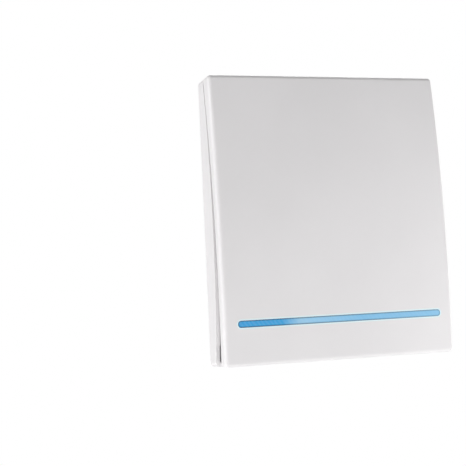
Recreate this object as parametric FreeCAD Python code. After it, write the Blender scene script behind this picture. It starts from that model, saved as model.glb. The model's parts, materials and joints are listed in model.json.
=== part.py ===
import FreeCAD, Part
import math
import os

Vector = FreeCAD.Vector

# Wall panel transmitter with one rocker key. Millimetres, +Z up, the wall is the plane Y = 0.
# Depth means the distance from the wall towards the room, along -Y.

# Overall form
face_width = 86.0
face_height = 86.0
depth_top = 8.4
depth_bottom = 12.0
face_bulge = 1.25
side_draft_deg = 12.5
lower_draft_deg = 1.0
corner_radius = 1.2
inner_corner_radius = 0.5

# Base tray
floor = 1.6
base_wall = 1.25
back_chamfer = 0.3
lip_gap = 0.45
lip_thickness = 0.9
lip_rise_top = 1.2
lip_rise_middle = 1.2
lip_rise_bottom = 2.3
lip_groove = 0.8
lip_end_inset = 6.31
wall_screw_margin = 12.85
wall_slot_length = 8.0
wall_slot_width = 4.2
wall_screw_head_radius = 3.6
slot_rim_width = 1.0
slot_rim_height = 0.5
pad_recess_depth = 0.5
pad_recess_width = 40.0
pad_recess_height = 16.0
pad_recess_offset = 22.0
pry_notch_width = 9.0
pry_notch_height = 1.0

# Rocker key, and the gap between its skirt and the tray's rim at the top, the middle and the bottom
skirt_depth_top = 4.3
skirt_depth_middle = 3.05
skirt_depth_bottom = 3.3
rim_gap_top = 0.4
rim_gap_middle = 1.5
rim_gap_bottom = 3.9
key_wall = 1.5
key_plate = 1.8
front_edge_radius = 1.1
press_angle_deg = 1.5
rib_width = 1.2
rib_height = 0.9
rib_from_post = 8.65

# Hinge: stub pins on the key in open sockets on the tray
hinge_drop = 3.25
pin_radius = 1.0
pin_running_gap = 0.06
ear_wall = 1.0
ear_thickness = 2.2
ear_inset = 4.4
ear_mouth_share = 0.85
lug_wall = 0.8
lug_thickness = 1.6
lug_side_gap = 0.2
lug_floor_gap = 0.9
pin_overhang = 0.4

# Catches that stop the key's lower edge
hook_from_spring = 12.0
hook_width = 6.0
hook_side_gap = 0.5
hook_leg = 1.2
hook_reach = 1.1
hook_nose = 0.4
hook_end_gap = 0.35
hook_stop_gap = 0.1
catch_side = 2.0
catch_wall = 1.2
catch_bar = 1.5
catch_gap = 0.5
hook_wall_gap = 0.85

# Light bar and light guide
bar_end_margin = 4.75
bar_height = 1.95
bar_from_lower_edge = 12.45
bar_gap = 0.08
bar_flange_lip = 0.8
bar_flange_thickness = 0.7
guide_end_gap = 2.65
guide_height = 2.6
guide_gap = 0.2
guide_lip = 0.5
guide_lip_thickness = 0.8
guide_proud = 0.5

# Circuit board and its screws
board_rise = 1.0
board_thickness = 1.0
board_top_margin = 7.0
board_bottom_margin = 2.2
board_corner = 2.0
screw_head_gap = 0.5
board_screw_inset = 2.6
standoff_radius = 2.2
board_screw_radius = 0.7
board_screw_head_radius = 1.4
board_screw_head_height = 0.8
board_screw_bite = 1.7
screw_hole_gap = 0.05
screw_tip_gap = 0.2
screw_point_share = 0.2
screw_head_bevel_share = 0.35

# Inner cover and its screws
cover_rise = 2.0
cover_thickness = 1.2
cover_top_gap = 3.5
cover_below_bar = 2.9
cover_side = 3.5
cover_corner = 2.5
cover_rim_width = 0.9
cover_rim_height = 1.0
cover_post_radius = 2.5
cover_post_drop = 7.66
cover_post_above_bar = 6.37
cover_post_inset = 0.5
cover_screw_radius = 0.85
cover_screw_head_radius = 1.8
cover_screw_head_height = 0.9
cover_screw_sink = 0.6
cover_screw_bite = 3.2
window_gap = 0.5

# Coin cell
cell_radius = 10.0
cell_thickness = 3.2
cell_step = 0.6
cell_step_inset = 1.0
cell_edge_round = 0.3
cell_centre = -4.0
contact_thickness = 0.3
contact_radius = 7.0
clip_thickness = 0.3
clip_width = 8.0
clip_foot = 2.2
clip_bend = 0.24
clip_side_gap = 0.2

# Push switch
switch_arm = 15.0
switch_size = 6.0
switch_height = 2.9
switch_corner = 0.5
switch_cover_thickness = 0.2
plunger_radius = 1.7
plunger_gap = 0.1
plunger_edge_round = 0.1
pad_boss_height = 0.4
plunger_flange = 0.35
plunger_flange_height = 0.5
plunger_stop_gap = 0.05
dome_height = 0.6
dome_thickness = 0.1
dome_gap = 0.02
well_side_gap = 0.1
pad_thickness = 0.5
pad_radius = 2.3
pad_plunger_gap = 0.05
leg_width = 0.7
leg_thickness = 0.2
leg_reach = 1.0
leg_rise = 1.0
leg_spacing = 4.5

# Return springs
spring_inset = 9.67
spring_radius = 2.5
spring_wire = 0.5
spring_turns = 4.5
spring_wire_sides = 8
spring_cup_gap = 0.25
spring_wall_gap = 0.2
spring_cup_wall = 0.8
spring_cup_height = 2.0
spring_seat = 0.9
spring_end_gap = 0.1
spring_peg_gap = 0.4
spring_peg_length = 1.6

# Rubber end stops
bumper_radius = 2.0
bumper_height = 1.4
bumper_stem_radius = 0.8
bumper_stem_length = 1.5
bumper_post_height = 3.4
bumper_inset = 0.5
bumper_stop_gap = 0.1
bumper_edge_round = 0.2

# Small parts on the board
led_length = 3.0
led_height = 2.0
led_thickness = 0.75
led_lens_radius = 0.7
led_lens_depth = 0.15
chip_length = 5.0
chip_width = 4.0
chip_thickness = 1.5
chip_legs_a_side = 4
chip_leg_pitch = 1.27
chip_leg_width = 0.4
chip_leg_reach = 1.0
chip_leg_thickness = 0.2
resonator_length = 5.0
resonator_width = 3.5
resonator_thickness = 1.3
crystal_length = 3.2
crystal_width = 2.5
crystal_thickness = 0.8
lid_inset = 0.4
lid_height = 0.2
transistor_length = 2.9
transistor_width = 1.3
transistor_thickness = 1.0
transistor_leg_pitch = 0.95
transistor_leg_reach = 0.5
tantalum_length = 3.5
tantalum_width = 2.8
tantalum_thickness = 1.8
capacitor_length = 2.0
capacitor_width = 1.25
capacitor_thickness = 0.8
resistor_length = 1.6
resistor_width = 0.8
resistor_thickness = 0.45
antenna_wire_radius = 0.4
antenna_rise = 0.9
antenna_bend = 0.8
antenna_return = 9.0

# Layout of the small parts, most of it measured from the board's edges
right_column_inset = 9.05
left_column_inset = 11.05
parts_drop = 15.71
led_inset = 9.05
antenna_edge_gap = 2.6
antenna_top_inset = 10.71
antenna_bottom_inset = 14.32
crystal_drop = 6.5
transistor_drop = 5.5
tantalum_drop = 8.0
capacitor_edge_gap = 3.5
resistor_edge_gap = 6.8
row_pitch = 3.2
row_count = 4
led_resistor_gap = 3.2

# How close to a direction an edge has to run to count as along it
nearly_parallel = 0.9

# Values worked out from the ones above
draft = math.tan(math.radians(side_draft_deg))
lower_draft = math.tan(math.radians(lower_draft_deg))
press_angle = math.radians(press_angle_deg)
edge_loss = front_edge_radius * (draft + 1 / math.cos(math.radians(side_draft_deg)) - 1)
lower_edge_loss = front_edge_radius * (lower_draft + 1 / math.cos(math.radians(lower_draft_deg)) - 1)
back_half_width = face_width / 2 + edge_loss - depth_bottom * draft
drafted_height = depth_top * draft - edge_loss + depth_bottom * lower_draft - lower_edge_loss
back_half_height = (face_height - drafted_height) / 2
beyond = depth_bottom + 4 * face_bulge

# Depths of the face, of the key's lower rim and of the tray's rim at the top, the middle and the bottom
depth_middle = (depth_top + depth_bottom) / 2 + face_bulge
skirt_rim_top = depth_top - skirt_depth_top
skirt_rim_middle = depth_middle - skirt_depth_middle
skirt_rim_bottom = depth_bottom - skirt_depth_bottom
rim_depth_top = skirt_rim_top - rim_gap_top
rim_depth_middle = skirt_rim_middle - rim_gap_middle
rim_depth_bottom = skirt_rim_bottom - rim_gap_bottom


def half_width(depth):
    return back_half_width + depth * draft


def upper_side(depth):
    return back_half_height + depth * draft


def lower_side(depth):
    return -back_half_height - depth * lower_draft


top_edge = upper_side(depth_top)
bottom_edge = lower_side(depth_bottom)

lug_radius = pin_radius + lug_wall
ear_radius = pin_radius + pin_running_gap + ear_wall
hinge_z = back_half_height - hinge_drop
hinge_depth = floor + lug_radius + lug_floor_gap
ear_outer = half_width(hinge_depth) - base_wall - ear_inset
ear_inner = ear_outer - ear_thickness
lug_outer = ear_inner - lug_side_gap
lug_inner = lug_outer - lug_thickness

board_back = floor + board_rise
board_front = board_back + board_thickness
cover_back = board_front + cover_rise
cover_front = cover_back + cover_thickness

bar_length = face_width - 2 * bar_end_margin
bar_z = bottom_edge + bar_from_lower_edge
switch_z = hinge_z - switch_arm
tray_bottom = lower_side(floor) + base_wall
spring_x = half_width(floor) - base_wall - spring_inset
spring_z = tray_bottom + spring_radius + spring_cup_gap + spring_wall_gap
hook_x = spring_x - hook_from_spring
hook_outer = lower_side(rim_depth_bottom) + base_wall + hook_wall_gap
hook_inner = hook_outer + hook_leg
catch_outer = hook_inner + catch_gap
catch_inner = catch_outer + catch_wall

cover_top = hinge_z - lug_radius - cover_top_gap
cover_bottom = bar_z - cover_below_bar
wall_screw_x = face_width / 2 - wall_screw_margin
cover_half_width = wall_screw_x + cover_side
cover_post_x = wall_screw_x - cover_post_inset
rib_x = cover_post_x - rib_from_post
guide_length = 2 * (cover_half_width - guide_end_gap)
guide_front = cover_front + guide_proud

board_half_width = wall_screw_x - wall_screw_head_radius - screw_head_gap
board_top = switch_z + board_top_margin
board_bottom = bar_z - board_bottom_margin
right_column = board_half_width - right_column_inset
left_column = board_half_width - left_column_inset
parts_top = board_top - parts_drop
led_spacing = board_half_width - led_inset


def point(x, depth, z):
    return Vector(x, -depth, z)


def block(x_low, x_high, depth_low, depth_high, z_low, z_high):
    size = Vector(x_high - x_low, depth_high - depth_low, z_high - z_low)
    return Part.makeBox(size.x, size.y, size.z, point(x_low, depth_high, z_low))


def centred_block(x, z, width, height, depth_low, depth_high):
    return block(x - width / 2, x + width / 2, depth_low, depth_high, z - height / 2, z + height / 2)


def rod(radius, x, z, depth_low, depth_high):
    """A cylinder that points into the room."""
    return Part.makeCylinder(radius, depth_high - depth_low, point(x, depth_low, z), Vector(0, -1, 0))


def cross_rod(radius, x_low, x_high, depth, z):
    """A cylinder that runs from left to right."""
    return Part.makeCylinder(radius, x_high - x_low, point(x_low, depth, z), Vector(1, 0, 0))


def cross_profile(corners, x_low, x_high):
    """A straight piece that runs from left to right, with the section given as (depth, z) corners."""
    section = [point(x_low, depth, z) for depth, z in corners]
    return Part.Face(Part.makePolygon(section + section[:1])).extrude(Vector(x_high - x_low, 0, 0))


def slot(x, z, length, width, depth_low, depth_high):
    """A prism with round ends that runs from left to right."""
    radius = width / 2
    straight = length / 2 - radius
    upper_left = point(x - straight, depth_low, z + radius)
    upper_right = point(x + straight, depth_low, z + radius)
    lower_right = point(x + straight, depth_low, z - radius)
    lower_left = point(x - straight, depth_low, z - radius)
    right_end = point(x + length / 2, depth_low, z)
    left_end = point(x - length / 2, depth_low, z)
    outline = Part.Wire([
        Part.makeLine(upper_left, upper_right),
        Part.Arc(upper_right, right_end, lower_right).toShape(),
        Part.makeLine(lower_right, lower_left),
        Part.Arc(lower_left, left_end, upper_left).toShape(),
    ])
    return Part.Face(outline).extrude(Vector(0, depth_low - depth_high, 0))


def edges_along(shape, direction):
    found = []
    for edge in shape.Edges:
        run = edge.Vertexes[-1].Point - edge.Vertexes[0].Point
        if run.Length > 0 and abs(run.dot(direction)) > nearly_parallel * run.Length:
            found.append(edge)
    return found


def rounded_plate(x_low, x_high, depth_low, depth_high, z_low, z_high, radius):
    plate = block(x_low, x_high, depth_low, depth_high, z_low, z_high)
    return plate.makeFillet(radius, edges_along(plate, Vector(0, 1, 0)))


def drafted_block(inset, depth_low, depth_high):
    """A block with the panel's drafted sides, set in from them, and with rounded corners."""
    wide = half_width(depth_high) - inset
    narrow = half_width(depth_low) - inset
    body = Part.makeWedge(
        -wide, -depth_high, lower_side(depth_high) + inset, lower_side(depth_low) + inset, -narrow,
        wide, -depth_low, upper_side(depth_high) - inset, upper_side(depth_low) - inset, narrow,
    )
    radius = max(corner_radius - inset, inner_corner_radius)
    return body.makeFillet(radius, edges_along(body, Vector(0, 1, 0)))


def side_arc(top, middle, bottom):
    """The side view's circle through three depths, at the top edge, the middle and the bottom edge."""
    middle_z = (top_edge + bottom_edge) / 2
    arc = Part.Arc(point(0, top, top_edge), point(0, middle, middle_z), point(0, bottom, bottom_edge))
    return arc.toShape().Curve


face_arc = side_arc(depth_top, depth_middle, depth_bottom)
skirt_arc = side_arc(skirt_rim_top, skirt_rim_middle, skirt_rim_bottom)
rim_arc = side_arc(rim_depth_top, rim_depth_middle, rim_depth_bottom)
lip_arc = side_arc(rim_depth_top + lip_rise_top, rim_depth_middle + lip_rise_middle,
                   rim_depth_bottom + lip_rise_bottom)


def behind_arc(arc, inward=0.0, back=0.0):
    """All the space on the wall side of an arc, after offsetting it inward or moving it back."""
    start = Vector(-face_width, arc.Center.y + back, arc.Center.z)
    return Part.makeCylinder(arc.Radius - inward, 2 * face_width, start, Vector(1, 0, 0))


def plate_back(z):
    """Depth of the key plate's back face at a height."""
    radius = face_arc.Radius - key_plate
    return math.sqrt(radius ** 2 - (z - face_arc.Center.z) ** 2) - face_arc.Center.y


def press_travel(z):
    """How far the key goes towards the wall at a height, at the end of its press."""
    return (hinge_z - z) * math.sin(press_angle)


def both_sides(shape):
    return [shape, shape.mirror(Vector(0, 0, 0), Vector(1, 0, 0))]


def joined(first, others):
    return first.fuse(others).removeSplitter()


# Depths that depend on the press
hook_end = floor + press_travel(hook_outer) + hook_end_gap
hook_stop = hook_end + hook_nose + hook_reach
catch_stop = hook_stop + hook_stop_gap
spring_front = plate_back(spring_z) - spring_seat
bumper_x = half_width(floor) - base_wall - bumper_radius - bumper_inset
bumper_z = tray_bottom + bumper_radius + bumper_inset
bumper_back = floor + bumper_post_height
bumper_front = bumper_back + bumper_height

# Depths in the push switch
switch_front = board_front + switch_height
switch_body_front = switch_front - switch_cover_thickness
flange_front = switch_body_front - plunger_stop_gap
flange_back = flange_front - plunger_flange_height
dome_front = flange_back - dome_gap
well_floor = dome_front - dome_height
well_radius = plunger_radius + plunger_flange + well_side_gap
pad_front = plate_back(switch_z) - pad_boss_height
pad_back = pad_front - pad_thickness
plunger_tip = pad_back - pad_plunger_gap

# Depths of the cell
cell_back = board_front + contact_thickness
cell_front = cell_back + cell_thickness

board_screw_places = [
    (side * (board_half_width - board_screw_inset), z)
    for side in (-1, 1)
    for z in (board_top - board_screw_inset, board_bottom + board_screw_inset)
]
cover_screw_places = [
    (side * cover_post_x, z)
    for side in (-1, 1)
    for z in (cover_top - cover_post_drop, bar_z + cover_post_above_bar)
]


def ear():
    """An upright socket on the tray that the key's stub pin snaps into from the front."""
    upright = block(ear_inner, ear_outer, floor / 2, hinge_depth, hinge_z - ear_radius, hinge_z + ear_radius)
    upright = upright.fuse(cross_rod(ear_radius, ear_inner, ear_outer, hinge_depth, hinge_z))
    bore = cross_rod(pin_radius + pin_running_gap, ear_inner, ear_outer, hinge_depth, hinge_z)
    mouth_half = pin_radius * ear_mouth_share
    mouth_end = hinge_depth + 2 * ear_radius
    mouth = block(ear_inner, ear_outer, hinge_depth, mouth_end, hinge_z - mouth_half, hinge_z + mouth_half)
    return upright.cut(bore).cut(mouth)


def catch():
    """An upright frame on the tray that holds the key's hook."""
    inside = hook_width / 2 + hook_side_gap
    outside = inside + catch_side
    frame = block(hook_x - outside, hook_x + outside, floor / 2, catch_stop + catch_bar,
                  catch_outer, catch_inner)
    return frame.cut(block(hook_x - inside, hook_x + inside, floor, catch_stop, catch_outer, catch_inner))


def spring_cup():
    hollow_radius = spring_radius + spring_cup_gap
    front = floor + spring_cup_height
    cup = rod(hollow_radius + spring_cup_wall, spring_x, spring_z, floor / 2, front)
    return cup.cut(rod(hollow_radius, spring_x, spring_z, floor, front))


def bumper_post():
    post = rod(bumper_radius, bumper_x, bumper_z, floor / 2, bumper_back)
    stem_end = bumper_back - bumper_stem_length
    return post.cut(rod(bumper_stem_radius, bumper_x, bumper_z, stem_end, bumper_back))


def screw_post(place, radius, front, hole_radius, hole_length):
    x, z = place
    return rod(radius, x, z, floor / 2, front), rod(hole_radius, x, z, front - hole_length, front)


def tray_shell():
    shell = drafted_block(0.0, 0.0, beyond).common(behind_arc(rim_arc))
    back_face = max(shell.Faces, key=lambda face: face.CenterOfMass.y)
    shell = shell.makeChamfer(back_chamfer, back_face.Edges)
    return shell.cut(drafted_block(base_wall, floor, beyond))


def side_lips():
    """Raised lips inside the two side walls, behind the key's skirts, with a groove between."""
    lip_outside = key_wall + lip_gap
    lip_inside = lip_outside + lip_thickness
    lip = drafted_block(lip_outside, floor / 2, beyond).common(behind_arc(lip_arc))
    root = drafted_block(base_wall / 2, floor / 2, beyond).common(behind_arc(rim_arc, back=lip_groove))
    frame = lip.fuse(root).cut(drafted_block(lip_inside, 0.0, beyond))
    side = block(back_half_width - lip_inside, face_width, 0, beyond,
                 lower_side(floor) + lip_end_inset, upper_side(floor) - lip_end_inset)
    return both_sides(frame.common(side))


def tray_posts():
    """The posts on the tray's floor, and the blind screw holes in them."""
    board_hole = board_screw_radius + screw_hole_gap
    cover_hole = cover_screw_radius + screw_hole_gap
    board_hole_length = board_screw_bite + screw_tip_gap
    cover_hole_length = cover_screw_bite + screw_tip_gap
    pairs = [
        screw_post(place, standoff_radius, board_back, board_hole, board_hole_length)
        for place in board_screw_places
    ]
    pairs += [
        screw_post(place, cover_post_radius, cover_back, cover_hole, cover_hole_length)
        for place in cover_screw_places
    ]
    return [post for post, hole in pairs], [hole for post, hole in pairs]


def base_tray():
    posts, holes = tray_posts()
    slot_rim = slot(wall_screw_x, 0, wall_slot_length + 2 * slot_rim_width,
                    wall_slot_width + 2 * slot_rim_width, floor / 2, floor + slot_rim_height)
    wall_slot = slot(wall_screw_x, 0, wall_slot_length, wall_slot_width, -floor, 2 * floor)
    features = both_sides(ear()) + both_sides(catch()) + both_sides(spring_cup())
    features += both_sides(bumper_post()) + both_sides(slot_rim) + side_lips()
    tray = joined(tray_shell(), features + posts)
    recesses = [
        rounded_plate(-pad_recess_width / 2, pad_recess_width / 2, -floor, pad_recess_depth,
                      end * pad_recess_offset - pad_recess_height / 2,
                      end * pad_recess_offset + pad_recess_height / 2, corner_radius)
        for end in (-1, 1)
    ]
    pry_notch = block(-pry_notch_width / 2, pry_notch_width / 2, rim_depth_bottom - pry_notch_height, beyond,
                      2 * bottom_edge, tray_bottom)
    return tray.cut(holes + both_sides(wall_slot) + recesses + [pry_notch])


def key_shell():
    shell = drafted_block(0.0, 0.0, beyond).common(behind_arc(face_arc))
    shell = shell.cut(behind_arc(skirt_arc))
    front_face = min(shell.Faces, key=lambda face: face.CenterOfMass.y)
    shell = shell.makeFillet(front_edge_radius, front_face.Edges)
    hollow = drafted_block(key_wall, 0.0, beyond).common(behind_arc(face_arc, inward=key_plate))
    return shell.cut(hollow)


def reach_plate(feature):
    """Trims a feature that stands on the back of the key so that it ends inside the plate."""
    return feature.common(behind_arc(face_arc, inward=key_plate / 2))


def lug():
    """A tab that hangs from the key and carries its stub pin."""
    tab = block(lug_inner, lug_outer, hinge_depth, beyond, hinge_z - lug_radius, hinge_z + lug_radius)
    tab = tab.fuse(cross_rod(lug_radius, lug_inner, lug_outer, hinge_depth, hinge_z))
    stub = cross_rod(pin_radius, lug_inner, ear_outer + pin_overhang, hinge_depth, hinge_z)
    return reach_plate(tab.fuse(stub))


def hook():
    tip = hook_inner + hook_reach
    section = [
        (hook_end, hook_outer),
        (hook_end, hook_inner),
        (hook_stop - hook_nose, tip),
        (hook_stop, tip),
        (hook_stop, hook_inner),
        (beyond, hook_inner),
        (beyond, hook_outer),
    ]
    return reach_plate(cross_profile(section, hook_x - hook_width / 2, hook_x + hook_width / 2))


def spring_peg():
    seat = rod(spring_radius, spring_x, spring_z, spring_front, beyond)
    peg_radius = spring_radius - spring_wire - spring_peg_gap
    peg = rod(peg_radius, spring_x, spring_z, spring_front - spring_peg_length, spring_front)
    return reach_plate(seat).fuse(peg)


def stop_post():
    end = bumper_front + press_travel(bumper_z) + bumper_stop_gap
    return reach_plate(rod(bumper_radius, bumper_x, bumper_z, end, beyond))


def key_rib():
    low = bar_z + bar_height / 2 + 2 * bar_flange_lip
    high = switch_z - switch_size
    rib = block(rib_x - rib_width / 2, rib_x + rib_width / 2, floor, beyond, low, high)
    return reach_plate(rib).cut(behind_arc(face_arc, inward=key_plate + rib_height))


def rocker_key():
    pad_boss = reach_plate(rod(pad_radius, 0, switch_z, pad_front, beyond))
    features = both_sides(lug()) + both_sides(hook()) + both_sides(spring_peg())
    features += both_sides(stop_post()) + both_sides(key_rib()) + [pad_boss]
    key = joined(key_shell(), features)
    opening = slot(0, bar_z, bar_length + 2 * bar_gap, bar_height + 2 * bar_gap, floor, beyond)
    return key.cut(opening)


def light_bar():
    bar = slot(0, bar_z, bar_length, bar_height, floor, beyond).common(behind_arc(face_arc))
    bar = bar.cut(behind_arc(face_arc, inward=key_plate))
    lip = 2 * bar_flange_lip
    flange = slot(0, bar_z, bar_length + lip, bar_height + lip, floor, beyond)
    flange = flange.common(behind_arc(face_arc, inward=key_plate))
    flange = flange.cut(behind_arc(face_arc, inward=key_plate + bar_flange_thickness))
    return joined(bar, [flange])


def press_pad():
    return rod(pad_radius, 0, switch_z, pad_back, pad_front)


def light_guide():
    low_edge = cover_back - guide_lip_thickness
    lip = 2 * guide_lip
    bar = centred_block(0, bar_z, guide_length, guide_height, low_edge, guide_front)
    flange = centred_block(0, bar_z, guide_length + lip, guide_height + lip, low_edge, cover_back)
    return joined(bar, [flange])


def circuit_board():
    board = rounded_plate(-board_half_width, board_half_width, board_back, board_front,
                          board_bottom, board_top, board_corner)
    holes = [
        rod(board_screw_radius + 2 * screw_hole_gap, x, z, 0, beyond)
        for x, z in board_screw_places
    ]
    return board.cut(holes)


def cover_windows():
    """Openings for the cell and its clip, the switch and the light guide, and for the wall screws."""
    clip_reach = cell_radius + clip_side_gap + clip_thickness + window_gap
    guide_room = 2 * guide_gap
    switch_room = switch_size + 2 * switch_cover_thickness + 2 * window_gap
    windows = [
        rod(cell_radius + window_gap, 0, cell_centre, 0, beyond),
        centred_block(0, cell_centre, clip_width + 2 * window_gap, 2 * clip_reach, 0, beyond),
        centred_block(0, switch_z, switch_room, switch_room, 0, beyond),
        centred_block(0, bar_z, guide_length + guide_room, guide_height + guide_room, 0, beyond),
    ]
    for side in (-1, 1):
        head_room = wall_screw_head_radius + window_gap
        windows.append(rod(head_room, side * wall_screw_x, 0, 0, beyond))
        windows.append(centred_block(side * cover_half_width, 0, cover_side, head_room, 0, beyond))
    return windows


def inner_cover():
    rim_back = cover_back - cover_rim_height
    cover = rounded_plate(-cover_half_width, cover_half_width, rim_back, cover_front,
                          cover_bottom, cover_top, cover_corner)
    inside = rounded_plate(-cover_half_width + cover_rim_width, cover_half_width - cover_rim_width,
                           0, cover_back, cover_bottom + cover_rim_width, cover_top - cover_rim_width,
                           cover_corner - cover_rim_width)
    cover = cover.cut([inside] + cover_windows())
    sink_back = cover_front - cover_screw_sink
    for x, z in cover_screw_places:
        cover = cover.cut(rod(cover_screw_radius + 2 * screw_hole_gap, x, z, 0, beyond))
        cover = cover.cut(rod(cover_screw_head_radius + 2 * screw_hole_gap, x, z, sink_back, beyond))
    return cover


def screw(place, shank_radius, tip, seat, head_radius, head_height):
    """A pan head screw, with a pointed end and a bevelled head."""
    x, z = place
    shank = rod(shank_radius, x, z, tip + shank_radius, seat)
    tip_radius = screw_point_share * shank_radius
    tip_cone = Part.makeCone(tip_radius, shank_radius, shank_radius, point(x, tip, z), Vector(0, -1, 0))
    head = rod(head_radius, x, z, seat, seat + head_height)
    front_face = min(head.Faces, key=lambda face: face.CenterOfMass.y)
    head = head.makeChamfer(screw_head_bevel_share * head_height, front_face.Edges)
    return joined(head, [shank, tip_cone])


def board_screws():
    tip = board_back - board_screw_bite
    return [
        screw(place, board_screw_radius, tip, board_front, board_screw_head_radius, board_screw_head_height)
        for place in board_screw_places
    ]


def cover_screws():
    tip = cover_back - cover_screw_bite
    seat = cover_front - cover_screw_sink
    return [
        screw(place, cover_screw_radius, tip, seat, cover_screw_head_radius, cover_screw_head_height)
        for place in cover_screw_places
    ]


def coin_cell():
    can = rod(cell_radius, 0, cell_centre, cell_back + cell_step, cell_front)
    front_face = min(can.Faces, key=lambda face: face.CenterOfMass.y)
    can = can.makeFillet(cell_edge_round, front_face.Edges)
    cap = rod(cell_radius - cell_step_inset, 0, cell_centre, cell_back, cell_back + cell_step)
    return joined(can, [cap])


def negative_contact():
    return rod(contact_radius, 0, cell_centre, board_front, cell_back)


def battery_clip():
    """One strip bent over the cell, with a foot on the board at each end."""
    leg_inside = cell_radius + clip_side_gap
    leg_outside = leg_inside + clip_thickness
    foot_end = leg_outside + clip_foot
    foot_front = board_front + clip_thickness
    top = cell_front + clip_thickness
    upper = [
        (top, leg_outside),
        (foot_front, leg_outside),
        (foot_front, foot_end),
        (board_front, foot_end),
        (board_front, leg_inside),
        (cell_front, leg_inside),
    ]
    section = [(depth, cell_centre + z) for depth, z in upper]
    section += [(depth, cell_centre - z) for depth, z in reversed(upper)]
    strip = cross_profile(section, -clip_width / 2, clip_width / 2)
    bends = [
        edge for edge in edges_along(strip, Vector(1, 0, 0))
        if abs(edge.CenterOfMass.y + top) < clip_thickness / 10
    ]
    return strip.makeFillet(clip_bend, bends)


def switch_housing():
    half = switch_size / 2
    body = rounded_plate(-half, half, board_front, switch_body_front,
                         switch_z - half, switch_z + half, switch_corner)
    return body.cut(rod(well_radius, 0, switch_z, well_floor, switch_front))


def switch_cover():
    half = switch_size / 2
    side = half + switch_cover_thickness
    tab_back = (board_front + switch_body_front) / 2
    plate_half = half - switch_corner
    plate = block(-side, side, switch_body_front, switch_front, switch_z - plate_half, switch_z + plate_half)
    tabs = both_sides(centred_block(half + switch_cover_thickness / 2, switch_z, switch_cover_thickness,
                                    half, tab_back, switch_body_front))
    return joined(plate, tabs).cut(rod(plunger_radius + plunger_gap, 0, switch_z, 0, beyond))


def switch_dome():
    rim = well_radius - well_side_gap
    radius = (rim ** 2 + dome_height ** 2) / (2 * dome_height)
    centre = point(0, dome_front - radius, switch_z)
    cap = Part.makeSphere(radius, centre).cut(Part.makeSphere(radius - dome_thickness, centre))
    return cap.common(rod(well_radius, 0, switch_z, well_floor, switch_front))


def switch_plunger():
    stem = rod(plunger_radius, 0, switch_z, flange_back, plunger_tip)
    tip_face = min(stem.Faces, key=lambda face: face.CenterOfMass.y)
    stem = stem.makeFillet(plunger_edge_round, tip_face.Edges)
    flange = rod(plunger_radius + plunger_flange, 0, switch_z, flange_back, flange_front)
    return joined(stem, [flange])


def gull_leg(x, z, side, width, reach, thickness, rise):
    """A soldered leg beside a body's face at z: it comes down the face and turns away from it."""
    section = [
        (board_front, z),
        (board_front, z + side * reach),
        (board_front + thickness, z + side * reach),
        (board_front + thickness, z + side * thickness),
        (board_front + rise, z + side * thickness),
        (board_front + rise, z),
    ]
    return cross_profile(section, x - width / 2, x + width / 2)


def switch_terminals():
    return [
        gull_leg(column * leg_spacing / 2, switch_z + side * switch_size / 2, side,
                 leg_width, leg_reach, leg_thickness, leg_rise)
        for column in (-1, 1)
        for side in (-1, 1)
    ]


def part_body(x, z, width, height, thickness, edge):
    """A moulded component body with its front edges bevelled."""
    body = centred_block(x, z, width, height, board_front, board_front + thickness)
    front_face = min(body.Faces, key=lambda face: face.CenterOfMass.y)
    return body.makeChamfer(edge, front_face.Edges)


def lidded_body(x, z, width, height, thickness):
    """A ceramic package with a metal lid."""
    base = centred_block(x, z, width, height, board_front, board_front + thickness - lid_height)
    lid = centred_block(x, z, width - 2 * lid_inset, height - 2 * lid_inset,
                        board_front + thickness - lid_height, board_front + thickness)
    return joined(base, [lid])


def radio_chip():
    body = part_body(right_column, parts_top, chip_length, chip_width, chip_thickness, chip_leg_thickness)
    first = -(chip_legs_a_side - 1) / 2
    legs = [
        gull_leg(right_column + (first + index) * chip_leg_pitch, parts_top + side * chip_width / 2, side,
                 chip_leg_width, chip_leg_reach, chip_leg_thickness, chip_thickness / 2)
        for index in range(chip_legs_a_side)
        for side in (-1, 1)
    ]
    return joined(body, legs)


def saw_resonator():
    return lidded_body(-left_column, parts_top, resonator_length, resonator_width, resonator_thickness)


def crystal():
    z = parts_top - crystal_drop
    return lidded_body(right_column, z, crystal_length, crystal_width, crystal_thickness)


def rf_transistor():
    x = -left_column
    z = parts_top - transistor_drop
    body = part_body(x, z, transistor_length, transistor_width, transistor_thickness, chip_leg_thickness)
    legs = [
        gull_leg(x + column * transistor_leg_pitch, z + side * transistor_width / 2, side,
                 chip_leg_width, transistor_leg_reach, chip_leg_thickness, transistor_thickness / 2)
        for column, side in ((-1, -1), (1, -1), (0, 1))
    ]
    return joined(body, legs)


def tantalum_capacitor():
    z = cell_centre - tantalum_drop
    return part_body(right_column, z, tantalum_length, tantalum_width, tantalum_thickness, chip_leg_thickness)


def ceramic_capacitors():
    column = board_half_width - capacitor_edge_gap
    return [
        centred_block(column, parts_top - index * row_pitch, capacitor_length, capacitor_width,
                      board_front, board_front + capacitor_thickness)
        for index in range(row_count)
    ]


def chip_resistors():
    edge_column = board_half_width - resistor_edge_gap
    beside_board_edge = [(-edge_column, parts_top - index * row_pitch) for index in range(row_count)]
    beside_leds = [(column * led_spacing, bar_z + led_resistor_gap) for column in (-1, 0, 1)]
    return [
        centred_block(x, z, resistor_length, resistor_width, board_front, board_front + resistor_thickness)
        for x, z in beside_board_edge + beside_leds
    ]


def indicator_leds():
    front = board_front + led_thickness
    return [
        centred_block(column * led_spacing, bar_z, led_length, led_height, board_front, front).cut(
            rod(led_lens_radius, column * led_spacing, bar_z, front - led_lens_depth, front))
        for column in (-1, 0, 1)
    ]


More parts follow.
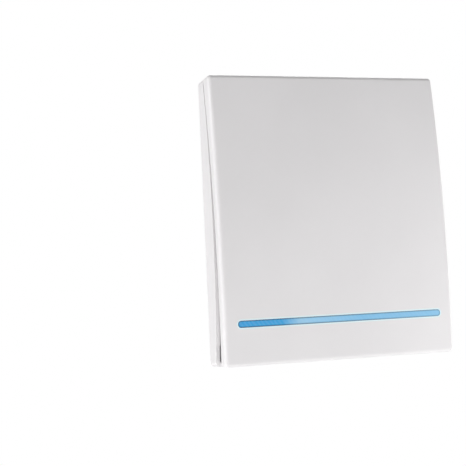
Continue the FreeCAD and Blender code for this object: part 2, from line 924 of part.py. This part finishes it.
def bent_wire(corners, bend, radius):
    """A round wire along straight runs that are joined by bends of one radius."""
    edges = []
    start = corners[0]
    for before, corner, after in zip(corners, corners[1:], corners[2:]):
        back = (before - corner).normalize()
        on = (after - corner).normalize()
        arc_start = corner + back * bend
        arc_end = corner + on * bend
        centre = corner + (back + on) * bend
        middle = centre + (corner - centre).normalize() * bend
        edges.append(Part.makeLine(start, arc_start))
        edges.append(Part.Arc(arc_start, middle, arc_end).toShape())
        start = arc_end
    edges.append(Part.makeLine(start, corners[-1]))
    section = Part.Wire(Part.makeCircle(radius, corners[0], corners[1] - corners[0]))
    return Part.Wire(edges).makePipeShell([section], True, True)


def antenna_wire():
    x = -(board_half_width - antenna_edge_gap)
    high = board_top - antenna_top_inset
    low = board_bottom + antenna_bottom_inset
    depth = board_front + antenna_rise
    corners = [
        point(x, board_front, high),
        point(x, depth, high),
        point(x, depth, low),
        point(x + antenna_return, depth, low),
        point(x + antenna_return, board_front, low),
    ]
    return bent_wire(corners, antenna_bend, antenna_wire_radius)


def spring_section(mean_radius):
    """The wire's outline, with a few flat sides to keep the coil's mesh light."""
    corners = []
    for index in range(spring_wire_sides):
        turn = 2 * math.pi * index / spring_wire_sides
        out = mean_radius + spring_wire / 2 * math.cos(turn)
        corners.append(Vector(out, 0, spring_wire / 2 * math.sin(turn)))
    return Part.makePolygon(corners + corners[:1])


def return_spring(x):
    """A coil spring with its two ends ground flat."""
    length = spring_front - spring_end_gap - floor
    mean_radius = spring_radius - spring_wire / 2
    helix = Part.makeHelix(length / spring_turns, length, mean_radius)
    coil = helix.makePipeShell([spring_section(mean_radius)], True, True)
    coil.rotate(Vector(0, 0, 0), Vector(1, 0, 0), 90)
    coil.translate(point(x, floor, spring_z))
    return coil.common(rod(2 * spring_radius, x, spring_z, floor, floor + length))


def return_springs():
    return [return_spring(side * spring_x) for side in (-1, 1)]


def rubber_bumpers():
    disc = rod(bumper_radius, bumper_x, bumper_z, bumper_back, bumper_front)
    front_face = min(disc.Faces, key=lambda face: face.CenterOfMass.y)
    disc = disc.makeFillet(bumper_edge_round, front_face.Edges)
    stem = rod(bumper_stem_radius, bumper_x, bumper_z, bumper_back - bumper_stem_length, bumper_back)
    return both_sides(joined(disc, [stem]))


nodes = {
    "base_tray": base_tray,
    "inner_cover": inner_cover,
    "cover_screws": cover_screws,
    "circuit_board": circuit_board,
    "board_screws": board_screws,
    "coin_cell": coin_cell,
    "battery_clip": battery_clip,
    "negative_contact": negative_contact,
    "switch_housing": switch_housing,
    "switch_cover": switch_cover,
    "switch_dome": switch_dome,
    "switch_terminals": switch_terminals,
    "switch_plunger": switch_plunger,
    "radio_chip": radio_chip,
    "saw_resonator": saw_resonator,
    "rf_transistor": rf_transistor,
    "crystal": crystal,
    "tantalum_capacitor": tantalum_capacitor,
    "ceramic_capacitors": ceramic_capacitors,
    "chip_resistors": chip_resistors,
    "antenna_wire": antenna_wire,
    "indicator_leds": indicator_leds,
    "light_guide": light_guide,
    "return_springs": return_springs,
    "rubber_bumpers": rubber_bumpers,
    "rocker_key": rocker_key,
    "light_bar": light_bar,
    "press_pad": press_pad,
}

os.makedirs("parts", exist_ok=True)
for node, make in nodes.items():
    shape = make()
    if isinstance(shape, list):
        shape = Part.makeCompound(shape)
    shape.exportStep(f"parts/{node}.step")
    print(f"{node:20} {len(shape.Solids):3} solids {shape.Volume:10.2f} mm3 valid {shape.isValid()}")
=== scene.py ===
import json
import math

import bmesh
import bpy
from mathutils import Matrix, Vector


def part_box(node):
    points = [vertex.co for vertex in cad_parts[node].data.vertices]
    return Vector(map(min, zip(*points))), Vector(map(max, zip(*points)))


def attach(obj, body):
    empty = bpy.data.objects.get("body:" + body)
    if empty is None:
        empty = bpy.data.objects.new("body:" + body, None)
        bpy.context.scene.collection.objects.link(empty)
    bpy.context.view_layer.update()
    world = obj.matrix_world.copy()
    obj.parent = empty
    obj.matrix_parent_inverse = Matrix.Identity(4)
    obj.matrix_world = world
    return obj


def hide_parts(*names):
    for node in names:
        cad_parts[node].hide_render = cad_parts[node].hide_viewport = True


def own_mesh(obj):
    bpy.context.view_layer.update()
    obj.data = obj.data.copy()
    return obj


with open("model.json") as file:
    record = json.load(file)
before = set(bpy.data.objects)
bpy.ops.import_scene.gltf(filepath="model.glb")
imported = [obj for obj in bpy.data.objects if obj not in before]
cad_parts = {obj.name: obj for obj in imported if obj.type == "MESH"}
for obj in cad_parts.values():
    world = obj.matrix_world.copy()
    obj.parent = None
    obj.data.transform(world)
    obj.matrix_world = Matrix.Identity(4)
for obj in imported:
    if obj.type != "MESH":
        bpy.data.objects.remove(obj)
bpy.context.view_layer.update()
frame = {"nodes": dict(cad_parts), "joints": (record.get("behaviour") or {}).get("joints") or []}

# The view of the photograph: image size in pixels, lengths in metres, angles in degrees
image_size = 466
focal_pixels = 2231.5
camera_azimuth = -34.5
camera_rise = 1.13
camera_roll = 2.60
camera_distance = 0.6676
camera_target = Vector((-0.03034, 0.0, -0.00276))

# The studio
floor_level = -0.30
floor_size = 6.0
ambient_strength = 0.275
floor_whiteness = 0.85
shadow_reach = (0.4, 1.2)

# Light bar: colours along it from its left end (its own deep blue, then a pale painted reflection), its
# hidden flange, and the painted shade that darkens the rim of its outline
bar_tint_and_painted_reflection = [
    (0.0, (36, 160, 224)), (0.21, (46, 163, 224)), (0.29, (153, 206, 238)),
    (0.33, (154, 208, 241)), (0.6, (130, 196, 237)), (1.0, (140, 199, 236)),
]
bar_flange = 0.0008
# Painted shade at the bar's outline: where it starts, how dark it gets, and how much it fades along the
# bar
bar_rim_painted_shade = (0.5, 1.0)
bar_rim_painted_shade_depth = 0.8
bar_rim_painted_shade_fade = 0.35
# A painted pale halo of light on the shell round the bar: where it starts and ends to fade, and its
# colour
painted_halo = (1.28, 1.62)
painted_halo_colour = (232, 251, 255)
# That painted halo stays on the key's front: full from this depth on, and gone this much nearer the wall
painted_halo_depth = -0.010
painted_halo_step = 0.0005
# The fine slanted ribs of the bar: how much they show, their angle, scale and distortion
rib_strength = 0.06
rib_angle = math.radians(40)
rib_scale = 260.0
rib_distortion = 4.0

# Return springs
spring_wire = 0.0005
spring_turns = 4.5
closed_turns = 0.75
wire_sides = 12
steps_a_turn = 40

# Screws: radius of the head, its height, and radius of the shank
board_screw = (0.0014, 0.0008, 0.0007)
cover_screw = (0.0018, 0.0009, 0.00085)
thread_pitch = 0.00045
thread_height = 0.00012
thread_sides = 3
screw_steps = 40
merge_distance = 1e-7

# Cross recess, as shares of the head's radius and height
recess_reach = 1.1
recess_width = 0.24
recess_depth = 1.5
recess_taper = 0.5

# Thickness of the snap dome's sheet
dome_sheet = 0.00008

# Edges sharper than this stay sharp on the new pieces
sharp_edge = math.radians(35)

# Moulded finishes: pale and dark colour, roughness, size of the grain and depth of the grain
plastics = {
    "inner_white": ((226, 227, 226), (220, 221, 220), 0.5, 0.0004, 0.000012),
    "black_plastic": ((44, 44, 46), (34, 34, 36), 0.42, 0.0002, 0.000012),
    "plunger_plastic": ((60, 60, 62), (48, 48, 50), 0.36, 0.0002, 0.000012),
    "capacitor_case": ((214, 160, 62), (198, 144, 50), 0.36, 0.0002, 0.000012),
    "capacitor_ceramic": ((178, 148, 116), (160, 130, 100), 0.45, 0.0002, 0.000012),
    "resistor_ceramic": ((40, 42, 46), (28, 30, 32), 0.3, 0.0002, 0.000012),
    "led_resin": ((236, 236, 220), (226, 224, 200), 0.18, 0.0004, 0.000004),
    "soft_rubber": ((70, 70, 72), (58, 58, 60), 0.62, 0.0003, 0.00002),
}

# Metal finishes: pale and dark colour, roughness, and how much finer the lines are along each axis
metals = {
    "screw_steel": ((196, 198, 202), (172, 174, 178), 0.26, (1, 1, 1)),
    "spring_steel": ((178, 178, 182), (150, 151, 156), 0.24, (1, 1, 6)),
    "stainless": ((214, 214, 216), (198, 199, 201), 0.2, (1, 1, 8)),
    "nickel_strip": ((206, 202, 194), (188, 184, 176), 0.22, (6, 1, 1)),
    "tinned_leads": ((202, 204, 208), (182, 184, 188), 0.3, (1, 1, 1)),
    "package_metal": ((200, 198, 192), (184, 182, 176), 0.28, (4, 1, 1)),
    "copper_wire": ((206, 134, 88), (184, 112, 70), 0.24, (1, 1, 5)),
}

# Lamps: name, place, size, power, and whether they show in reflections. All of them face the origin
lamps = [
    ("left_low_lamp", (-0.319, -0.184, -0.258), 0.135, 0.80, False),
    ("left_front_lamp", (-0.485, -0.840, -0.242), 0.10, 1.92, True),
    ("left_back_lamp", (-1.339, 0.624, 0.260), 0.30, 6.6, True),
    ("right_near_lamp", (0.162, -0.104, -0.080), 0.10, 0.155, False),
    ("right_side_lamp", (0.591, -0.104, 0.0), 0.20, 0.33, False),
    ("right_back_lamp", (0.9, 1.2, 0.8), 0.5, 3.0, True),
    ("top_lamp", (-0.10, 0.30, 1.2), 0.30, 1.2, True),
]


def paint(red, green, blue):
    """A colour given as it looks on a screen, 0 to 255, in the linear values that shaders use."""
    linear = []
    for value in (red, green, blue):
        share = value / 255
        linear.append(share / 12.92 if share <= 0.04045 else ((share + 0.055) / 1.055) ** 2.4)
    return (*linear, 1.0)


class Signal:
    """One output of a shader node, with the maths that a material needs."""

    def __init__(self, tree, socket=None):
        self.tree = tree
        self.socket = socket

    def node(self, kind, settings=None, inputs=None, output=0):
        made = self.tree.nodes.new(kind)
        for name, value in (settings or {}).items():
            if name == "stops":
                ramp = made.color_ramp
                while len(ramp.elements) < len(value):
                    ramp.elements.new(1.0)
                for element, (position, colour) in zip(ramp.elements, value):
                    element.position = position
                    element.color = colour
            else:
                setattr(made, name, value)
        for name, value in (inputs or {}).items():
            if isinstance(value, Signal):
                self.tree.links.new(value.socket, made.inputs[name])
            else:
                made.inputs[name].default_value = value
        return Signal(self.tree, made.outputs[output] if made.outputs else None)

    def math(self, operation, *values):
        return self.node("ShaderNodeMath", {"operation": operation}, dict(enumerate(values)))

    def __add__(self, other):
        return self.math("ADD", self, other)

    def __sub__(self, other):
        return self.math("SUBTRACT", self, other)

    def __rsub__(self, other):
        return self.math("SUBTRACT", other, self)

    def __mul__(self, other):
        return self.math("MULTIPLY", self, other)

    __radd__ = __add__
    __rmul__ = __mul__

    def smooth(self, low, high):
        """0 below the low value, 1 above the high one and a soft step between."""
        inputs = {"Value": self, "From Min": low, "From Max": high}
        return self.node("ShaderNodeMapRange", {"interpolation_type": "SMOOTHSTEP"}, inputs)

    def mix(self, first, second):
        """The first colour where this is 0, and the second where it is 1."""
        return self.node("ShaderNodeMix", {"data_type": "RGBA"}, {0: self, 6: first, 7: second}, 2)

    def parts(self):
        """The x, y and z of a place."""
        return [self.node("ShaderNodeSeparateXYZ", {}, {"Vector": self}, axis) for axis in "XYZ"]

    def length(self):
        return self.node("ShaderNodeVectorMath", {"operation": "LENGTH"}, {0: self}, "Value")


def new_material(name):
    """A material with its shader made and nothing linked, and a signal to start its nodes from."""
    material = bpy.data.materials.new(name)
    material.use_nodes = True
    material.node_tree.nodes.clear()
    start = Signal(material.node_tree)
    surface = start.node("ShaderNodeBsdfPrincipled")
    start.node("ShaderNodeOutputMaterial", {}, {"Surface": surface})
    return material, surface.socket.node, start


def feed(shader, **values):
    """Sets the shader's sockets, named with underscores, from numbers, colours or signals."""
    for name, value in values.items():
        socket = shader.inputs[name.replace("_", " ")]
        if isinstance(value, Signal):
            value.tree.links.new(value.socket, socket)
        else:
            socket.default_value = value


def place_on_object(start):
    return start.node("ShaderNodeTexCoord", output="Object")


def noise(place, size, detail=2.0):
    """Soft random values whose patches are about the given size, in metres."""
    inputs = {"Vector": place, "Scale": 1 / size, "Detail": detail}
    return place.node("ShaderNodeTexNoise", {}, inputs, "Fac")


def bump(height, depth):
    """A normal from a height of 0 to 1 that stands for a depth in metres."""
    return height.node("ShaderNodeBump", {}, {"Height": height, "Distance": depth, "Strength": 1.0})


def from_outline(place):
    """How far a point is from the light bar's middle line, as a share of the half height that shows."""
    low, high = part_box("light_bar")
    half_height = (high.z - low.z) / 2 - bar_flange
    round_end = high.x - bar_flange - half_height
    x, _, z = place.parts()
    beyond = x.math("MAXIMUM", x.math("ABSOLUTE", x) - round_end, 0.0)
    away = place.node("ShaderNodeCombineXYZ", {}, {"X": beyond, "Z": z - (low.z + high.z) / 2})
    return away.length() * (1 / half_height)


def painted_halo_round_bar(place):
    """Mask of the painted pale halo: 1 on the key's front at the bar's outline, and 0 a little way out
    from it.
    """
    front = 1 - place.parts()[1].smooth(painted_halo_depth, painted_halo_depth + painted_halo_step)
    return front * (1 - from_outline(place).smooth(*painted_halo))


def moulded(name, light, dark, gloss, grain=0.0004, depth=0.000012, glow=False):
    """Moulded plastic: faint flow clouds in its colour, a fine even grain and small changes in gloss,
    and with glow a painted pale halo round the light bar.
    """
    material, shader, start = new_material(name)
    place = place_on_object(start)
    clouds = noise(place, 0.03)
    texture = noise(place, grain)
    smears = noise(place, 0.012, 4.0)
    colour = clouds.smooth(0.3, 0.7).mix(paint(*dark), paint(*light))
    # Painted light: with glow, a pale bluish halo is painted on the shell round the light bar.
    if glow:
        colour = painted_halo_round_bar(place).mix(colour, paint(*painted_halo_colour))
    feed(
        shader,
        Base_Color=colour,
        Roughness=gloss + 0.10 * smears,
        Normal=bump(texture, depth),
        IOR=1.5,
    )
    return material


def drawn_metal(name, light, dark, gloss, stretch):
    """Rolled or turned metal: fine lines along the way it was worked, and stains in the gloss."""
    material, shader, start = new_material(name)
    place = place_on_object(start)
    lines = place.node("ShaderNodeMapping", {}, {"Vector": place, "Scale": stretch})
    scratches = noise(lines, 0.0008, 3.0)
    stains = noise(place, 0.004)
    feed(
        shader,
        Base_Color=stains.smooth(0.35, 0.65).mix(paint(*dark), paint(*light)),
        Metallic=1.0,
        Roughness=gloss + 0.18 * scratches,
        Normal=bump(scratches, 0.000004),
    )
    return material


def blue_bar():
    """Tinted light bar: glossy, deep blue at its left end, a painted pale reflection further on and
    painted shade at its outline.
    """
    material, shader, start = new_material("blue_bar")
    place = place_on_object(start)
    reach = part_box("light_bar")[1].x - bar_flange
    along = place.parts()[0]
    share = along.node("ShaderNodeMapRange", {}, {"Value": along, "From Min": -reach, "From Max": reach})
    # Painted reflection: past its deep blue left end the bar's colour turns pale, standing in for a
    # reflection of light.
    stops = [(position, paint(*colour)) for position, colour in bar_tint_and_painted_reflection]
    tint_and_painted_reflection = share.node("ShaderNodeValToRGB", {"stops": stops}, {"Fac": share})
    slanted = place.node("ShaderNodeMapping", {}, {"Vector": place, "Rotation": (0, rib_angle, 0)})
    wave = {"Vector": slanted, "Scale": rib_scale, "Distortion": rib_distortion}
    ribs = slanted.node("ShaderNodeTexWave", {}, wave, "Fac")
    ribbed = (rib_strength * ribs).mix(tint_and_painted_reflection, paint(206, 228, 242))
    # Painted shade: the bar's outline is darkened towards a deep blue, less so further along where the
    # bar is paler.
    rim = from_outline(place).smooth(*bar_rim_painted_shade) * (bar_rim_painted_shade_depth - bar_rim_painted_shade_fade * share)
    feed(
        shader,
        Base_Color=rim.mix(ribbed, paint(30, 74, 108)),
        Roughness=0.16 + 0.08 * noise(place, 0.006),
        Normal=bump(noise(place, 0.0009), 0.000006),
        Coat_Weight=0.3,
        Coat_Roughness=0.05,
    )
    return material


def clear_guide():
    """Clear moulding with a little haze in it."""
    material, shader, start = new_material("clear_guide")
    place = place_on_object(start)
    haze = noise(place, 0.002)
    feed(
        shader,
        Base_Color=haze.mix(paint(214, 228, 236), paint(232, 240, 244)),
        Roughness=0.08 + 0.12 * haze,
        Normal=bump(haze, 0.000005),
        Transmission_Weight=0.7,
        IOR=1.49,
    )
    return material


def copper_tracks(place, turn):
    """Thin parallel tracks in the board's plane, turned by an angle, 1 on the copper."""
    laid = place.node("ShaderNodeMapping", {}, {"Vector": place, "Rotation": (math.pi / 2, 0, turn)})
    rows = {
        "Vector": laid, "Scale": 180.0, "Mortar Size": 0.02, "Mortar Smooth": 0.2,
        "Brick Width": 4.0, "Row Height": 0.17,
    }
    shifts = {"offset": 0.35, "squash": 0.6, "squash_frequency": 3}
    return laid.node("ShaderNodeTexBrick", shifts, rows, "Fac")


def board_laminate():
    """Green board: solder mask over a weave, with copper tracks that show as raised paler lines."""
    material, shader, start = new_material("board_laminate")
    place = place_on_object(start)
    cells = {"Vector": place, "Scale": 110.0, "Randomness": 0.7}
    fields = place.node("ShaderNodeTexVoronoi", {"distance": "CHEBYCHEV"}, cells, "Color")
    upright = fields.math("GREATER_THAN", fields, 0.5)
    lying_tracks = copper_tracks(place, 0)
    upright_tracks = copper_tracks(place, math.pi / 2)
    tracks = lying_tracks + upright * (upright_tracks - lying_tracks)
    weave = noise(place, 0.0006)
    mask = weave.mix(paint(22, 92, 58), paint(30, 106, 66))
    feed(
        shader,
        Base_Color=(0.8 * tracks).mix(mask, paint(58, 138, 84)),
        Roughness=0.28 + 0.12 * weave,
        Normal=bump(tracks + 0.15 * weave, 0.00003),
    )
    return material


def make_finishes():
    """All finishes by their names, which are also the names of the record's material slots."""
    finishes = {
        # The white shell carries the painted halo round the light bar.
        "white_shell": moulded("white_shell", (236, 234, 235), (233, 231, 232), 0.38, glow=True),
        "blue_bar": blue_bar(),
        "clear_guide": clear_guide(),
        "board_laminate": board_laminate(),
    }
    for name, look in plastics.items():
        finishes[name] = moulded(name, *look)
    for name, look in metals.items():
        finishes[name] = drawn_metal(name, *look)
    return finishes


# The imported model's own materials have the same names, so they step aside first
for imported in list(bpy.data.materials):
    imported.name = "packed_" + imported.name
materials = make_finishes()


def dress_nodes():
    """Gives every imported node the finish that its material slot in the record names."""
    for node in frame["nodes"].values():
        slot = node.data.materials[0].name.removeprefix("packed_")
        node.data.materials[0] = materials[slot]


def new_piece(name, form, finish, body, node):
    """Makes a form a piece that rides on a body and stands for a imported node."""
    bmesh.ops.recalc_face_normals(form, faces=form.faces)
    mesh = bpy.data.meshes.new(name)
    form.to_mesh(mesh)
    form.free()
    mesh.materials.append(materials[finish])
    mesh.shade_smooth()
    mesh.set_sharp_from_angle(angle=sharp_edge)
    piece = bpy.data.objects.new(name, mesh)
    bpy.context.scene.collection.objects.link(piece)
    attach(piece, body)
    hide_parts(node)
    return piece


def ring(form, centre, radius, sides):
    """An open round wire section, facing up."""
    place = Matrix.Translation(centre)
    made = bmesh.ops.create_circle(form, segments=sides, radius=radius, matrix=place)
    edges = {edge for vertex in made["verts"] for edge in vertex.link_edges}
    return made["verts"] + list(edges)


def wind(form, section, centre, turns, rise):
    """Sweeps a section round an axis that points into the room, while it rises along it."""
    steps = round(turns * steps_a_turn)
    spun = bmesh.ops.spin(
        form, geom=section, cent=centre, axis=(0, -1, 0), dvec=(0, -rise / steps, 0),
        angle=2 * math.pi * turns, steps=steps,
    )
    return spun["geom_last"]


def cap_ends(form):
    bmesh.ops.edgeloop_fill(form, edges=[edge for edge in form.edges if edge.is_boundary])


def return_springs():
    """Two round wire springs, with their end turns closed."""
    low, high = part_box("return_springs")
    outer_radius = (high.z - low.z) / 2
    mean_radius = outer_radius - spring_wire / 2
    length = high.y - low.y
    closed_rise = closed_turns * spring_wire
    open_rise = length - spring_wire - 2 * closed_rise
    form = bmesh.new()
    for side in (-1, 1):
        centre = Vector((side * (high.x - outer_radius), high.y - spring_wire / 2, low.z + outer_radius))
        section = ring(form, centre + Vector((mean_radius, 0, 0)), spring_wire / 2, wire_sides)
        section = wind(form, section, centre, closed_turns, closed_rise)
        section = wind(form, section, centre, spring_turns - 2 * closed_turns, open_rise)
        wind(form, section, centre, closed_turns, closed_rise)
    cap_ends(form)
    piece = new_piece("return_springs_wound", form, "spring_steel", "base", "return_springs")
    hinge = next(joint for joint in frame["joints"] if joint["name"] == "key_press")
    press = (hinge["pos_m"][2] - low.z - outer_radius) * math.sin(math.radians(hinge["range_deg"][1]))
    1 - press / length
    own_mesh(piece)


def switch_dome():
    """The sprung metal dome under the plunger."""
    low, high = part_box("switch_dome")
    rim = high.x
    rise = high.y - low.y
    radius = (rim ** 2 + rise ** 2) / (2 * rise)
    middle = (low.z + high.z) / 2
    form = bmesh.new()
    facing_room = Matrix.Translation((0, low.y + radius, middle)) @ Matrix.Rotation(math.pi / 2, 4, "X")
    bmesh.ops.create_uvsphere(form, u_segments=48, v_segments=96, radius=radius, matrix=facing_room)
    bmesh.ops.bisect_plane(
        form, geom=form.verts[:] + form.edges[:] + form.faces[:],
        plane_co=(0, high.y, middle), plane_no=(0, 1, 0), clear_outer=True,
    )
    bmesh.ops.solidify(form, geom=form.faces, thickness=dome_sheet)
    piece = new_piece("switch_dome_sprung", form, "stainless", "base", "switch_dome")
    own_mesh(piece)


def four_places(low, high, inset):
    """The middles of four screws whose heads touch the sides of a box."""
    return [(x, z) for x in (low.x + inset, high.x - inset) for z in (low.z + inset, high.z - inset)]


def screw_body(form, x, z, tip, front, sizes):
    """A pan head on a pointed shank, turned from half its outline."""
    head_radius, head_height, shank_radius = sizes
    seat = front + head_height
    outline = [
        (0.0, front),
        (0.55 * head_radius, front + 0.04 * head_height),
        (0.86 * head_radius, front + 0.22 * head_height),
        (head_radius, front + 0.6 * head_height),
        (head_radius, seat),
        (shank_radius, seat),
        (shank_radius, tip - shank_radius),
        (0.0, tip),
    ]
    corners = [form.verts.new((x + out, y, z)) for out, y in outline]
    edges = [form.edges.new(pair) for pair in zip(corners, corners[1:])]
    bmesh.ops.spin(
        form, geom=corners + edges, cent=(x, 0, z), axis=(0, -1, 0),
        angle=2 * math.pi, steps=screw_steps, use_merge=True,
    )
    bmesh.ops.remove_doubles(form, verts=form.verts, dist=merge_distance)


def screw_thread(form, x, z, tip, seat, shank_radius):
    """A fine ridge that winds up the shank."""
    start = tip - shank_radius
    turns = (start - seat) / thread_pitch - 1
    centre = Vector((x + shank_radius, start, z))
    section = ring(form, centre, thread_height, thread_sides)
    wind(form, section, Vector((x, start, z)), turns, turns * thread_pitch)


def cross_cutter(form, x, z, front, head_radius, head_height):
    """Two crossed blades, narrower at their deep end."""
    size = (recess_reach * head_radius, recess_depth * head_height, recess_width * head_radius)
    for turn in (math.pi / 4, 3 * math.pi / 4):
        place = Matrix.LocRotScale(Vector((x, front, z)), Matrix.Rotation(turn, 3, "Y"), Vector(size))
        blade = bmesh.ops.create_cube(form, size=1.0, matrix=place)["verts"]
        deep_end = [vertex for vertex in blade if vertex.co.y > front]
        about_axis = Matrix.Translation((-x, 0, -z))
        bmesh.ops.scale(form, verts=deep_end, vec=(recess_taper, 1, recess_taper), space=about_axis)


def cut_away(piece, form):
    """Cuts a form, whose own parts may cross each other, out of a piece for good."""
    mesh = bpy.data.meshes.new("cutter")
    form.to_mesh(mesh)
    form.free()
    cutter = bpy.data.objects.new("cutter", mesh)
    bpy.context.scene.collection.objects.link(cutter)
    cut = piece.modifiers.new("recess", "BOOLEAN")
    cut.operation = "DIFFERENCE"
    cut.solver = "EXACT"
    cut.use_self = True
    cut.object = cutter
    bpy.context.view_layer.update()
    shown = piece.evaluated_get(bpy.context.evaluated_depsgraph_get())
    piece.data = bpy.data.meshes.new_from_object(shown)
    piece.modifiers.clear()
    bpy.data.objects.remove(cutter)


def screws(node, sizes):
    """The four screws of a node, with their cross recesses and threads."""
    low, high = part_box(node)
    head_radius, head_height, shank_radius = sizes
    form = bmesh.new()
    threads = bmesh.new()
    cutter = bmesh.new()
    for x, z in four_places(low, high, head_radius):
        screw_body(form, x, z, high.y, low.y, sizes)
        screw_thread(threads, x, z, high.y, low.y + head_height, shank_radius)
        cross_cutter(cutter, x, z, low.y, head_radius, head_height)
    cap_ends(threads)
    piece = new_piece(node + "_turned", form, "screw_steel", "base", node)
    cut_away(piece, cutter)
    new_piece(node + "_threads", threads, "screw_steel", "base", node)


def make_camera():
    """The camera that took the photograph, as fitted from the panel's edges."""
    turn = Matrix.Rotation(math.radians(camera_azimuth), 3, "Z")
    rise = Matrix.Rotation(math.radians(camera_rise), 3, "X")
    roll = Matrix.Rotation(math.radians(camera_roll), 3, "Y")
    view = turn @ rise @ roll
    right, ahead, up = view.col
    data = bpy.data.cameras.new("camera")
    data.sensor_width = 36.0
    data.lens = focal_pixels / image_size * data.sensor_width
    data.clip_start = 0.01
    data.clip_end = 20.0
    camera = bpy.data.objects.new("camera", data)
    bpy.context.scene.collection.objects.link(camera)
    axes = Matrix((right, up, -ahead)).transposed().to_4x4()
    camera.matrix_world = Matrix.Translation(camera_target - ahead * camera_distance) @ axes
    bpy.context.scene.camera = camera


def seen_directly(start):
    """1 for rays of the camera, of reflections and of clear parts, and 0 for rays that light things."""
    camera, glossy, clear = [
        start.node("ShaderNodeLightPath", output=name)
        for name in ("Is Camera Ray", "Is Glossy Ray", "Is Transmission Ray")
    ]
    return start.math("MAXIMUM", camera, start.math("MAXIMUM", glossy, clear))


def make_world():
    world = bpy.data.worlds.new("studio")
    world.use_nodes = True
    world.node_tree.nodes.clear()
    start = Signal(world.node_tree)
    white = paint(255, 255, 255)
    ambient = start.node("ShaderNodeBackground", {}, {"Color": white, "Strength": ambient_strength})
    backdrop = start.node("ShaderNodeBackground", {}, {"Color": white, "Strength": 1.0})
    mixed = start.node("ShaderNodeMixShader", {}, {0: seen_directly(start), 1: ambient, 2: backdrop})
    start.node("ShaderNodeOutputWorld", {}, {"Surface": mixed})
    bpy.context.scene.world = world


def floor_finish():
    """White floor that keeps its shadows near the object, and melts into the backdrop further out."""
    material, shader, start = new_material("studio_floor")
    feed(shader, Base_Color=paint(244, 244, 244), Roughness=0.8)
    tree = start.tree
    output = next(node for node in tree.nodes if node.type == "OUTPUT_MATERIAL")
    glow = start.node("ShaderNodeEmission", {}, {"Color": paint(255, 255, 255), "Strength": 1.0})
    lit = Signal(tree, shader.outputs["BSDF"])
    place = place_on_object(start)
    white = floor_whiteness + (1 - floor_whiteness) * place.length().smooth(*shadow_reach)
    mixed = start.node("ShaderNodeMixShader", {}, {0: seen_directly(start) * white, 1: lit, 2: glow})
    tree.links.new(mixed.socket, output.inputs["Surface"])
    return material


def make_floor():
    form = bmesh.new()
    bmesh.ops.create_grid(form, x_segments=1, y_segments=1, size=floor_size / 2)
    bmesh.ops.translate(form, verts=form.verts, vec=(0, 0, floor_level))
    mesh = bpy.data.meshes.new("floor")
    form.to_mesh(mesh)
    form.free()
    mesh.materials.append(floor_finish())
    floor = bpy.data.objects.new("floor", mesh)
    bpy.context.scene.collection.objects.link(floor)


def make_lamps():
    for name, place, size, power, in_gloss in lamps:
        data = bpy.data.lights.new(name, "AREA")
        data.shape = "DISK"
        data.size = size
        data.energy = power
        lamp = bpy.data.objects.new(name, data)
        lamp.location = place
        lamp.visible_glossy = in_gloss
        lamp.rotation_euler = (-Vector(place)).to_track_quat("-Z", "Y").to_euler()
        bpy.context.scene.collection.objects.link(lamp)


make_camera()
make_world()
make_floor()
make_lamps()
dress_nodes()
return_springs()
switch_dome()
screws("board_screws", board_screw)
screws("cover_screws", cover_screw)
bpy.context.scene.view_settings.view_transform = "Standard"
